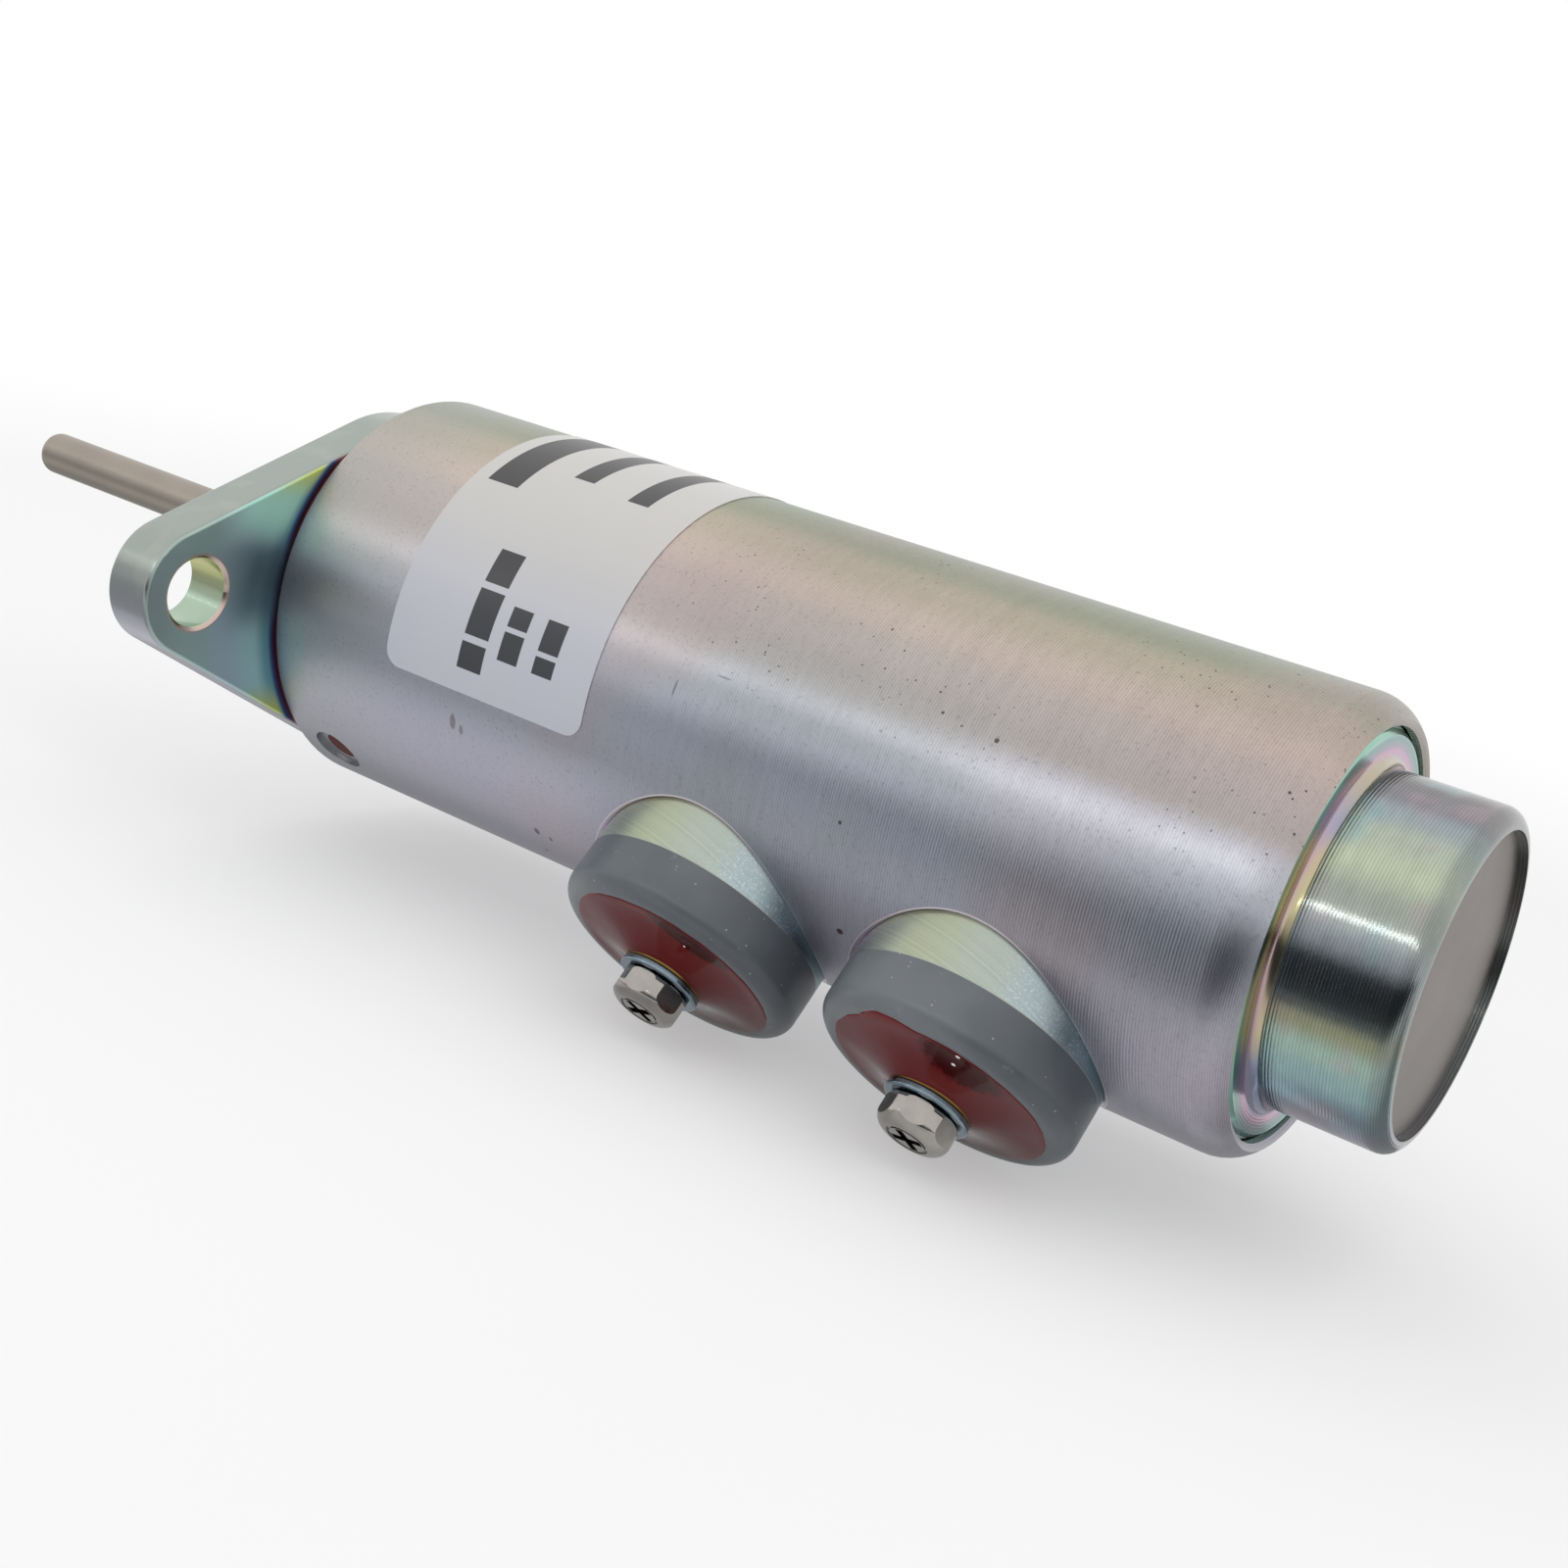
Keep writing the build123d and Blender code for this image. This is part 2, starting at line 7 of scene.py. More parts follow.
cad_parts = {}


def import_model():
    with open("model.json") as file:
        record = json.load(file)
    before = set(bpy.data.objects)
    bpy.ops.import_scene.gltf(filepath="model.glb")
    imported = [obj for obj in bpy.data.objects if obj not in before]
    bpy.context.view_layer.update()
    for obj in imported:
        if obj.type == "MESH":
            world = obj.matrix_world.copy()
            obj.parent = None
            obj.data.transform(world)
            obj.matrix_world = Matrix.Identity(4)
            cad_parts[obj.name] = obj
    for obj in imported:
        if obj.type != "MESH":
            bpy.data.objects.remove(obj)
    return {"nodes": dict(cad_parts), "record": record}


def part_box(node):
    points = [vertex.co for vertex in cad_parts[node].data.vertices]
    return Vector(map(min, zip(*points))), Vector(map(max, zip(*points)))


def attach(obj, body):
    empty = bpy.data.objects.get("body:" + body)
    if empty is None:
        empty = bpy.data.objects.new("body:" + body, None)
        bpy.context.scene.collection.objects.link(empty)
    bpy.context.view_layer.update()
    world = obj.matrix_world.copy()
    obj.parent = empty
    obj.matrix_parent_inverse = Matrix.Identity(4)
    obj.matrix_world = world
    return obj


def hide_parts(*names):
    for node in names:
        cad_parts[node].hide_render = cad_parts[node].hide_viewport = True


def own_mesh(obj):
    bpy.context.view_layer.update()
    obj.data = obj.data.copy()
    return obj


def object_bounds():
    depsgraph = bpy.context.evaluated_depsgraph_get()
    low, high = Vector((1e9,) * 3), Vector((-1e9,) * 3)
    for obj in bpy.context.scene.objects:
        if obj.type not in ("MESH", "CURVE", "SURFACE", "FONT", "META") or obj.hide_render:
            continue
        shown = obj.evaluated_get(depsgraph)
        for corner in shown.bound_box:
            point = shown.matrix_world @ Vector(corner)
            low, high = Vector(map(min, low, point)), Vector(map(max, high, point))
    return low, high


# Looks of a flange-mounted pull solenoid: plated steel with turning lines and a faint rainbow, a white
# label, grey terminal cups filled with dark red compound, and bright screws. All lengths are in metres.
# The body's axis is X, its rear end points along +X, the near side is -Y and up is +Z.

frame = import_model()
cad_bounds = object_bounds()

MM = 0.001

# Places read from the frame
SHELL_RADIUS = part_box("body_shell")[1].z
SHELL_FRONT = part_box("body_shell")[0].x
CAP_FRONT, CAP_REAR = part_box("end_cap")[0].x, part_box("end_cap")[1].x
FLOOR_LEVEL = cad_bounds[0].z
TERMINAL_PLACES = [
    (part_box(f"terminal_{number}_insulator")[0].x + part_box(f"terminal_{number}_insulator")[1].x) / 2
    for number in (1, 2)
]

# The end cap: a plate under the shell's lip and a cup behind it
CAP_FACE = CAP_REAR - 13.95 * MM
CAP_SEAT = CAP_FACE - 1.15 * MM
CAP_RADIUS = 23.36 * MM
CAP_STEP_RADIUS = 22.25 * MM
CAP_BORE_RADIUS = 8.2 * MM
CUP_RADIUS = 18.48 * MM
CUP_MOUTH_RADIUS = 16.48 * MM
CUP_BORE_RADIUS = 15.4 * MM
CUP_BOTTOM = CAP_FRONT + 7.7 * MM
CUP_MIDDLE = CAP_REAR - 7 * MM
DISC_DEPTH = 2.4 * MM

# The mouth of the shell's lip: the solid's ring of points, and the cone that it turns into
LIP_MOUTH_RADIUS, LIP_RIM_RADIUS = 22.85 * MM, 23.57 * MM
CONE_PLACE, CONE_LENGTH = 135.03 * MM, 0.45 * MM
CONE_RADIUS, CONE_RISE = 22.72 * MM, 0.85 * MM

# The flange's ears
EAR_CENTRE = 38.0 * MM
EAR_HOLE_RADIUS = 4.25 * MM

# The terminals, which point down on the near side
TERMINAL_ANGLE = radians(48)
TERMINAL_OUT = Vector((0, -cos(TERMINAL_ANGLE), -sin(TERMINAL_ANGLE)))
TERMINAL_SIDE = Vector((0, -sin(TERMINAL_ANGLE), cos(TERMINAL_ANGLE)))
BOSS_FACE = 26.25 * MM
BOSS_RADIUS = 14.95 * MM
COMPOUND_RADIUS = 12.5 * MM
COMPOUND_BOTTOM = 31.4 * MM


# Colours and shaders
def srgb(red, green, blue):
    """A colour as it shows on a screen, 0 to 255, turned into Blender's linear values."""
    shares = [value / 255 for value in (red, green, blue)]
    linear = [s / 12.92 if s <= 0.04045 else ((s + 0.055) / 1.055) ** 2.4 for s in shares]
    return (*linear, 1.0)


class Nodes:
    """A node tree built step by step. A value may be a number, a colour or another node's output."""

    def __init__(self, tree):
        self.tree = tree

    def give(self, socket, value):
        if isinstance(value, bpy.types.NodeSocket):
            self.tree.links.new(value, socket)
        elif value is not None:
            socket.default_value = value

    def node(self, kind, inputs=(), **settings):
        made = self.tree.nodes.new(kind)
        for name, value in settings.items():
            setattr(made, name, value)
        pairs = inputs.items() if isinstance(inputs, dict) else enumerate(inputs)
        for key, value in pairs:
            self.give(made.inputs[key], value)
        return made

    def math(self, operation, first, second=None):
        return self.node("ShaderNodeMath", [first, second], operation=operation).outputs[0]

    def add(self, first, second):
        return self.math("ADD", first, second)

    def times(self, first, second):
        return self.math("MULTIPLY", first, second)

    def vector(self, x, y, z):
        return self.node("ShaderNodeCombineXYZ", [x, y, z]).outputs[0]

    def step(self, value, low, high):
        """0 below low, 1 above high and smooth between. Low may be the larger, which turns it round."""
        inputs = {"Value": value, "From Min": low, "From Max": high}
        return self.node("ShaderNodeMapRange", inputs, interpolation_type="SMOOTHSTEP").outputs["Result"]

    def between(self, value, low, high, blur):
        """1 from low to high, falling to 0 over blur on either side."""
        return self.times(self.step(value, low - blur, low), self.step(value, high + blur, high))

    def mix(self, share, first, second, blend="MIX"):
        inputs = {"Factor": share}
        made = self.node("ShaderNodeMix", inputs, data_type="RGBA", blend_type=blend)
        self.give(made.inputs[6], first)
        self.give(made.inputs[7], second)
        return made.outputs[2]

    def ramp(self, value, stops, unit=1.0):
        """A colour for each value. Stops are (value, colour), the values in the given unit."""
        low, high = stops[0][0] * unit, stops[-1][0] * unit
        share = self.node("ShaderNodeMapRange", {"Value": value, "From Min": low, "From Max": high})
        made = self.node("ShaderNodeValToRGB", [share.outputs["Result"]])
        made.color_ramp.interpolation = "EASE"
        elements = made.color_ramp.elements
        while len(elements) < len(stops):
            elements.new(0.5)
        for element, (place, colour) in zip(elements, stops):
            element.position = (place * unit - low) / (high - low)
            element.color = colour
        return made.outputs["Color"]

    def length(self, first, second):
        """The long side of a right-angled triangle."""
        squares = self.add(self.math("POWER", first, 2.0), self.math("POWER", second, 2.0))
        return self.math("SQRT", squares)

    def emission(self, colour):
        return self.node("ShaderNodeEmission", {"Color": colour}).outputs[0]

    def seen_directly(self):
        """1 for rays from the camera and for those that mirrors and glass send on."""
        rays = self.node("ShaderNodeLightPath").outputs
        either = self.math("MAXIMUM", rays["Is Camera Ray"], rays["Is Glossy Ray"])
        return self.math("MAXIMUM", either, rays["Is Transmission Ray"])


class Shader(Nodes):
    """A material: one Principled surface, and the places and patterns that its values are made from."""

    def __init__(self, name, **surface_values):
        self.material = bpy.data.materials.new(name)
        self.material.use_nodes = True
        super().__init__(self.material.node_tree)
        self.surface = self.tree.nodes["Principled BSDF"]
        for socket, value in surface_values.items():
            self.give(self.surface.inputs[socket.replace("_", " ")], value)
        self.place = self.node("ShaderNodeTexCoord").outputs["Object"]
        self.x, self.y, self.z = self.node("ShaderNodeSeparateXYZ", [self.place]).outputs

    def noise(self, scale, detail=2.0, rough=0.5, at=None):
        at = self.place if at is None else at
        inputs = {"Vector": at, "Scale": scale, "Detail": detail, "Roughness": rough}
        return self.node("ShaderNodeTexNoise", inputs).outputs["Fac"]

    def specks(self, scale, share, size):
        """Small scattered dots: 1 on a dot. Share is the part of the pattern's cells that hold one."""
        cells = self.node("ShaderNodeTexVoronoi", {"Vector": self.place, "Scale": scale}).outputs
        red = self.node("ShaderNodeSeparateColor", [cells["Color"]]).outputs["Red"]
        dot = self.step(cells["Distance"], size, size * 0.6)
        return self.times(dot, self.math("LESS_THAN", red, share))

    def bump(self, height, strength, depth):
        """Adds a relief to the surface, over the reliefs already given."""
        before = self.surface.inputs["Normal"]
        inputs = {"Height": height, "Strength": strength, "Distance": depth}
        made = self.node("ShaderNodeBump", inputs)
        if before.is_linked:
            self.tree.links.new(before.links[0].from_socket, made.inputs["Normal"])
        self.tree.links.new(made.outputs["Normal"], before)

    def colour(self, value):
        self.give(self.surface.inputs["Base Color"], value)
        return self.material

    def surface_grain(self):
        """The grain of a turned surface: round the X axis."""
        grain = self.node("ShaderNodeTangent", direction_type="RADIAL", axis="X")
        self.give(self.surface.inputs["Tangent"], grain.outputs[0])

    def roughness(self, value):
        self.give(self.surface.inputs["Roughness"], value)

    def show(self, result):
        """Gives the material another final surface than the Principled one."""
        self.give(self.tree.nodes["Material Output"].inputs["Surface"], result)

    # Places round the body's axis
    def angle(self):
        """Degrees round the body from -Y towards +Z."""
        return self.times(self.math("ARCTAN2", self.z, self.times(self.y, -1.0)), 180 / pi)

    def from_axis(self):
        return self.length(self.y, self.z)

    def at_terminal(self, place):
        """Distances from a terminal's axis along the body and across it, and the height along the axis."""
        def part(direction):
            return self.add(self.times(self.y, direction.y), self.times(self.z, direction.z))
        return self.add(self.x, -place), part(TERMINAL_SIDE), part(TERMINAL_OUT)


def turning_lines(shader, pitch, depth, tone, where=1.0):
    """Fine grooves round the X axis, on cylinders and on faces across it. Gives the tone to multiply by."""
    along = shader.add(shader.x, shader.times(shader.from_axis(), -1.0))
    wander = shader.times(shader.noise(90.0, 1.0), 2.5)
    feed = shader.math("SINE", shader.add(shader.times(along, 2 * pi / pitch), wander))
    # Noise drawn out round the axis: long lines, and shorter dashes
    lines = shader.vector(along, 0.0, shader.times(shader.angle(), 0.00002))
    coarse = shader.noise(0.22 / pitch, 3.0, 0.6, lines)
    rows = shader.vector(along, 0.0, shader.times(shader.angle(), 0.00012))
    dashes = shader.noise(0.55 / pitch, 2.0, 0.6, rows)
    uneven = shader.add(coarse, dashes)
    relief = shader.add(shader.times(feed, 0.6), shader.times(uneven, 1.6))
    shader.bump(shader.times(relief, where), strength=1.0, depth=depth)
    share = shader.add(shader.times(feed, 0.3), shader.times(uneven, 0.6))
    dark = 1 - 2 * tone
    return shader.mix(shader.times(share, where), (1, 1, 1, 1), (dark, dark, dark, 1))


def blot(shader, along, across, place, size):
    """A soft-edged oval mark: 1 in its middle. Place and size are in the units of the two values."""
    first = shader.math("POWER", shader.times(shader.add(along, -place[0]), 1 / size[0]), 2.0)
    second = shader.math("POWER", shader.times(shader.add(across, -place[1]), 1 / size[1]), 2.0)
    ragged = shader.times(shader.add(shader.noise(1500.0, 2.0), -0.5), 0.9)
    return shader.step(shader.add(shader.add(first, second), ragged), 1.0, 0.45)


# Metals

# Marks on the shell: (place along X in mm, angle, half length in mm, half angle, colour, how strong)
SHELL_MARKS = [
    (36.6, -16.0, 0.5, 2.6, (104, 92, 84), 0.55),
    (37.9, -17.5, 0.35, 1.6, (96, 86, 80), 0.5),
    (47.3, -43.5, 0.5, 1.6, (70, 66, 70), 0.7),
    (49.3, -44.5, 0.3, 1.0, (70, 66, 70), 0.7),
    (66.1, 14.5, 0.12, 2.6, (70, 70, 76), 0.6),
    (91.5, -30.0, 0.5, 1.0, (74, 30, 32), 0.85),
    (71.5, 21.0, 1.1, 0.3, (90, 84, 84), 0.5),
]


def shell_plating():
    shader = Shader("shell_plating", Metallic=1.0, Anisotropic=0.7, Anisotropic_Rotation=0.25)
    shader.surface_grain()
    angle = shader.angle()
    # Colours round the body by angle: partly the plating's tint and partly painted reflection, lighter and
    # darker bands that stand for the room mirrored in the body
    tint_and_reflection_tones = [
        (-180, srgb(180, 176, 176)),
        (-120, srgb(176, 172, 184)),
        (-60, srgb(172, 170, 180)),
        (-30, srgb(186, 184, 198)),
        (-8, srgb(188, 190, 202)),
        (4, srgb(190, 196, 210)),
        (12, srgb(208, 213, 225)),
        (19, srgb(184, 188, 194)),
        (32, srgb(188, 184, 181)),
        (41, srgb(200, 191, 186)),
        (51, srgb(213, 198, 187)),
        (64, srgb(198, 187, 170)),
        (77, srgb(164, 168, 146)),
        (92, srgb(162, 170, 155)),
        (120, srgb(176, 174, 166)),
        (150, srgb(182, 174, 170)),
        (180, srgb(180, 176, 176)),
    ]
    base = shader.ramp(angle, tint_and_reflection_tones)
    cloud = shader.noise(24.0, 2.0, 0.5)
    base = shader.mix(shader.times(shader.step(cloud, 0.52, 0.72), 0.4), base, srgb(196, 174, 172))
    base = shader.mix(shader.times(shader.step(cloud, 0.46, 0.3), 0.4), base, srgb(168, 182, 164))
    # Painted highlight: a bright band along the rear part of the body, 8 to 24 degrees round
    bright = shader.times(shader.step(shader.x, 92 * MM, 112 * MM), shader.between(angle, 8, 24, 7))
    base = shader.mix(shader.times(bright, 0.5), base, srgb(218, 220, 232))
    front = shader.step(shader.x, 30 * MM, 8 * MM)
    base = shader.mix(shader.times(front, 0.5), base, srgb(176, 180, 176))

    turned = shader.add(0.25, shader.times(shader.step(shader.x, 48 * MM, 76 * MM), 0.75))
    tone = turning_lines(shader, pitch=0.34 * MM, depth=0.009 * MM, tone=0.13, where=turned)
    base = shader.mix(1.0, base, tone, "MULTIPLY")
    grime = shader.noise(2600.0, 3.0, 0.6)
    base = shader.mix(shader.times(shader.step(grime, 0.52, 0.78), 0.35), base, srgb(110, 108, 108))

    upper = shader.times(shader.step(shader.x, 40 * MM, 80 * MM), shader.step(angle, 8, 34))
    patchy = shader.step(shader.noise(70.0, 2.0), 0.42, 0.62)
    dots = shader.math("MAXIMUM", shader.specks(560.0, 0.32, 0.13), shader.specks(1250.0, 0.42, 0.2))
    everywhere = shader.specks(300.0, 0.07, 0.1)
    dots = shader.math("MAXIMUM", shader.times(dots, shader.times(upper, patchy)), everywhere)
    base = shader.mix(shader.times(dots, 0.85), base, srgb(68, 63, 60))
    for place, turn, length, width, colour, strength in SHELL_MARKS:
        mark = blot(shader, shader.x, angle, (place * MM, turn), (length * MM, width))
        base = shader.mix(shader.times(mark, strength), base, srgb(*colour))

    # A thin near-white ring round each boss on its lower side: partly the bare metal of the hole's edge,
    # partly a painted highlight
    for place in TERMINAL_PLACES:
        along, side, _ = shader.at_terminal(place)
        edge = shader.step(shader.length(along, side), BOSS_RADIUS + 0.62 * MM, BOSS_RADIUS + 0.5 * MM)
        below = shader.step(shader.add(shader.y, shader.z), 0.0, -5 * MM)
        base = shader.mix(shader.times(edge, below), base, srgb(236, 226, 232))
    shader.roughness(shader.add(0.34, shader.times(shader.noise(60.0, 3.0), 0.1)))
    return shader.colour(base)


def flange_plating():
    shader = Shader("flange_plating", Metallic=1.0, Roughness=0.2)
    from_shell = shader.add(shader.from_axis(), -SHELL_RADIUS)
    # Colours of the face by the distance from the shell, in mm
    face_stops = [
        (-1, srgb(90, 66, 70)),
        (-0.15, srgb(150, 96, 84)),
        (0.12, srgb(96, 62, 88)),
        (0.5, srgb(62, 72, 122)),
        (1.3, srgb(120, 176, 190)),
        (3.5, srgb(180, 226, 226)),
        (8.0, srgb(184, 208, 216)),
        (13.0, srgb(176, 204, 194)),
        (20.0, srgb(168, 186, 180)),
    ]
    face = shader.ramp(from_shell, face_stops, MM)
    height = shader.math("ABSOLUTE", shader.z)
    # Painted reflection: a dark slate band across the middle of the face next to the shell, for the shell's
    # dark side mirrored in it
    middle = shader.between(shader.z, -1 * MM, 4 * MM, 5 * MM)
    middle = shader.times(middle, shader.step(from_shell, 10 * MM, 4 * MM))
    face = shader.mix(shader.times(middle, 0.75), face, srgb(102, 120, 138))
    # Painted reflection: a bright aqua glow on the face above the shell, for the shell's lit side mirrored
    # in it
    painted_glow = shader.times(shader.step(shader.z, 5 * MM, 10 * MM), shader.step(from_shell, 13 * MM, 7 * MM))
    painted_glow = shader.times(painted_glow, shader.step(from_shell, 0.9 * MM, 2.2 * MM))
    face = shader.mix(shader.times(painted_glow, 0.9), face, srgb(190, 244, 226))
    corner = shader.times(shader.step(height, 11 * MM, 16 * MM), shader.step(from_shell, 7 * MM, 4 * MM))
    corner = shader.times(corner, shader.step(from_shell, 0.6 * MM, 1.6 * MM))
    face = shader.mix(corner, face, srgb(214, 224, 120))

    from_side = shader.add(shader.math("ABSOLUTE", shader.y), -EAR_CENTRE)
    from_hole = shader.add(shader.length(from_side, shader.z), -EAR_HOLE_RADIUS)
    bore = shader.mix(shader.step(shader.z, -2 * MM, 3 * MM), srgb(176, 196, 176), srgb(200, 200, 140))
    mottle = shader.noise(160.0, 3.0, 0.6)
    rim = shader.mix(shader.step(shader.z, -6 * MM, 4 * MM), srgb(174, 174, 184), srgb(162, 170, 164))
    rim = shader.mix(shader.times(shader.step(mottle, 0.5, 0.7), 0.3), rim, srgb(186, 190, 176))
    on_face = shader.step(shader.x, SHELL_FRONT - 0.25 * MM, SHELL_FRONT - 0.05 * MM)
    base = shader.mix(on_face, rim, face)
    base = shader.mix(shader.step(from_hole, 0.75 * MM, 0.35 * MM), base, srgb(206, 186, 176))
    base = shader.mix(shader.step(from_hole, 0.05 * MM, -0.03 * MM), base, bore)
    shader.bump(shader.noise(900.0, 3.0), strength=0.25, depth=0.02 * MM)
    uneven = shader.add(0.14, shader.times(shader.noise(300.0, 3.0), 0.16))
    shader.roughness(shader.add(uneven, shader.times(on_face, shader.add(0.12, shader.times(painted_glow, 0.18)))))
    return shader.colour(base)


def cap_plating():
    shader = Shader("cap_plating", Metallic=1.0, Roughness=0.17, Anisotropic=0.5, Anisotropic_Rotation=0.25)
    shader.surface_grain()
    angle = shader.angle()
    # Colours round the cup by angle: partly the plating's tint and partly painted reflection, darker where
    # the cup mirrors dark parts of the room
    cup_tint_and_reflection_tones = [
        (-180, srgb(176, 190, 188)),
        (-100, srgb(176, 170, 186)),
        (-60, srgb(168, 168, 186)),
        (-42, srgb(160, 188, 200)),
        (-30, srgb(168, 200, 200)),
        (-21, srgb(172, 200, 186)),
        (-12, srgb(170, 172, 140)),
        (-5, srgb(170, 178, 176)),
        (12, srgb(176, 184, 190)),
        (28, srgb(172, 180, 168)),
        (40, srgb(204, 214, 188)),
        (51, srgb(194, 205, 188)),
        (61, srgb(172, 184, 188)),
        (70, srgb(148, 148, 154)),
        (82, srgb(134, 131, 132)),
        (110, srgb(140, 138, 136)),
        (180, srgb(176, 190, 188)),
    ]
    cup = shader.ramp(angle, cup_tint_and_reflection_tones)
    stain = shader.noise(110.0, 2.0, 0.5)
    cup = shader.mix(shader.times(shader.step(stain, 0.52, 0.68), 0.45), cup, srgb(196, 168, 178))
    cup = shader.mix(shader.times(shader.step(stain, 0.46, 0.32), 0.45), cup, srgb(150, 188, 196))
    # Colours of the plate by the radius in mm, and then those of its near side
    plate_stops = [
        (18.4, srgb(150, 160, 184)),
        (19.2, srgb(176, 166, 192)),
        (19.9, srgb(196, 152, 180)),
        (20.6, srgb(150, 150, 160)),
        (21.3, srgb(118, 156, 152)),
        (22.2, srgb(160, 204, 186)),
    ]
    wave = shader.times(shader.add(shader.noise(60.0, 1.0), -0.5), 1.6 * MM)
    radius = shader.add(shader.from_axis(), wave)
    plate = shader.ramp(radius, plate_stops, MM)
    top = shader.times(shader.step(angle, 40, 75), shader.step(shader.from_axis(), 20.0 * MM, 18.9 * MM))
    plate = shader.mix(shader.times(top, 0.8), plate, srgb(196, 184, 150))
    near_stops = [
        (18.4, srgb(206, 196, 142)),
        (19.2, srgb(206, 172, 168)),
        (20.0, srgb(196, 200, 148)),
        (21.2, srgb(120, 150, 136)),
        (22.3, srgb(156, 190, 150)),
    ]
    gold = shader.ramp(radius, near_stops, MM)
    plate = shader.mix(shader.times(shader.between(angle, -22, 34, 16), 0.85), plate, gold)
    on_cup = shader.step(shader.x, CAP_FACE + 0.9 * MM, CAP_FACE + 1.5 * MM)
    rim = shader.step(shader.x, CAP_REAR - 2.6 * MM, CAP_REAR - 1.0 * MM)
    cup = shader.mix(shader.times(rim, 0.6), cup, srgb(140, 148, 144))
    base = shader.mix(on_cup, plate, cup)
    turned = shader.add(0.25, shader.times(on_cup, 0.75))
    tone = turning_lines(shader, pitch=0.34 * MM, depth=0.008 * MM, tone=0.17, where=turned)
    return shader.colour(shader.mix(1.0, base, tone, "MULTIPLY"))


def boss_plating(number):
    """A terminal's short tube, with fine lines round its side."""
    shader = Shader(f"boss_plating_{number}", Metallic=1.0)
    along, side, out = shader.at_terminal(TERMINAL_PLACES[number - 1])
    angle = shader.times(shader.math("ARCTAN2", side, along), 180 / pi)
    # Colours round the boss by angle: partly the plating's tint and partly painted reflection, darker and
    # lighter sides for the room mirrored in it
    stops = [
        (-180, srgb(170, 166, 186)),
        (-60, srgb(160, 172, 178)),
        (0, srgb(120, 146, 152)),
        (30, srgb(144, 164, 172)),
        (52, srgb(176, 192, 196)),
        (75, srgb(182, 192, 180)),
        (105, srgb(182, 188, 160)),
        (128, srgb(206, 212, 196)),
        (150, srgb(210, 206, 220)),
        (180, srgb(170, 166, 186)),
    ]
    base = shader.ramp(angle, stops)
    slant = shader.add(out, shader.times(angle, 0.00006))
    lines = shader.noise(3200.0, 2.0, 0.5, shader.vector(slant, 0.0, 0.0))
    grain = shader.noise(3600.0, 3.0, 0.7)
    base = shader.mix(shader.times(shader.step(lines, 0.35, 0.7), 0.22), base, srgb(110, 120, 124))
    # Painted glints: near-white points on the grain, most between 25 and 62 degrees round the boss
    painted_glints = shader.add(0.2, shader.between(angle, 25, 62, 12))
    painted_glints = shader.times(shader.step(grain, 0.5, 0.72), painted_glints)
    base = shader.mix(shader.times(painted_glints, 0.55), base, srgb(224, 232, 232))
    rim = shader.step(out, BOSS_FACE - 0.16 * MM, BOSS_FACE - 0.06 * MM)
    base = shader.mix(rim, base, srgb(176, 178, 168))
    shader.bump(lines, strength=0.6, depth=0.006 * MM)
    shader.bump(grain, strength=0.5, depth=0.012 * MM)
    shader.roughness(shader.add(0.26, shader.times(grain, 0.16)))
    return shader.colour(base)


def disc_steel():
    shader = Shader("disc_steel", Metallic=0.85, Roughness=0.45)
    base = shader.mix(shader.noise(140.0, 3.0), srgb(122, 115, 111), srgb(140, 133, 129))
    shader.bump(shader.noise(2500.0, 2.0), strength=0.5, depth=0.015 * MM)
    return shader.colour(base)


def rod_steel():
    shader = Shader("rod_steel", Metallic=1.0, Roughness=0.36)
    base = shader.mix(shader.noise(90.0, 3.0), srgb(158, 149, 139), srgb(180, 170, 159))
    tone = turning_lines(shader, pitch=0.16 * MM, depth=0.003 * MM, tone=0.06)
    return shader.colour(shader.mix(1.0, base, tone, "MULTIPLY"))


# Plain metals: (one colour, the other that it varies to, roughness)
PLAIN_METALS = {
    "soft_iron": ((150, 150, 150), (128, 126, 124), 0.4),
    "screw_steel": ((120, 118, 116), (96, 94, 92), 0.35),
    "spring_steel": ((150, 148, 146), (126, 124, 122), 0.3),
    "washer_zinc": ((150, 166, 176), (112, 128, 140), 0.12),
    "screw_nickel": ((190, 184, 177), (150, 145, 141), 0.15),
    "brass": ((170, 144, 84), (138, 112, 60), 0.3),
    "bronze": ((176, 130, 80), (150, 106, 62), 0.4),
    "copper": ((196, 120, 84), (170, 98, 66), 0.3),
}


def plain_metal(name):
    first, second, roughness = PLAIN_METALS[name]
    shader = Shader(name, Metallic=1.0)
    base = shader.mix(shader.noise(400.0, 3.0), srgb(*first), srgb(*second))
    shader.bump(shader.noise(1200.0, 3.0), strength=0.2, depth=0.01 * MM)
    shader.roughness(shader.add(roughness - 0.05, shader.times(shader.noise(700.0, 2.0), 0.1)))
    return shader.colour(base)


def copper_wire():
    """Enamelled wire, wound in close turns."""
    shader = Shader("copper_wire", Metallic=0.7, Roughness=0.3)
    turns = shader.node("ShaderNodeTexWave", {"Vector": shader.place, "Scale": 320.0, "Distortion": 0.4})
    shader.bump(turns.outputs["Fac"], strength=0.6, depth=0.2 * MM)
    base = shader.mix(turns.outputs["Fac"], srgb(120, 52, 26), srgb(186, 96, 52))
    return shader.colour(base)


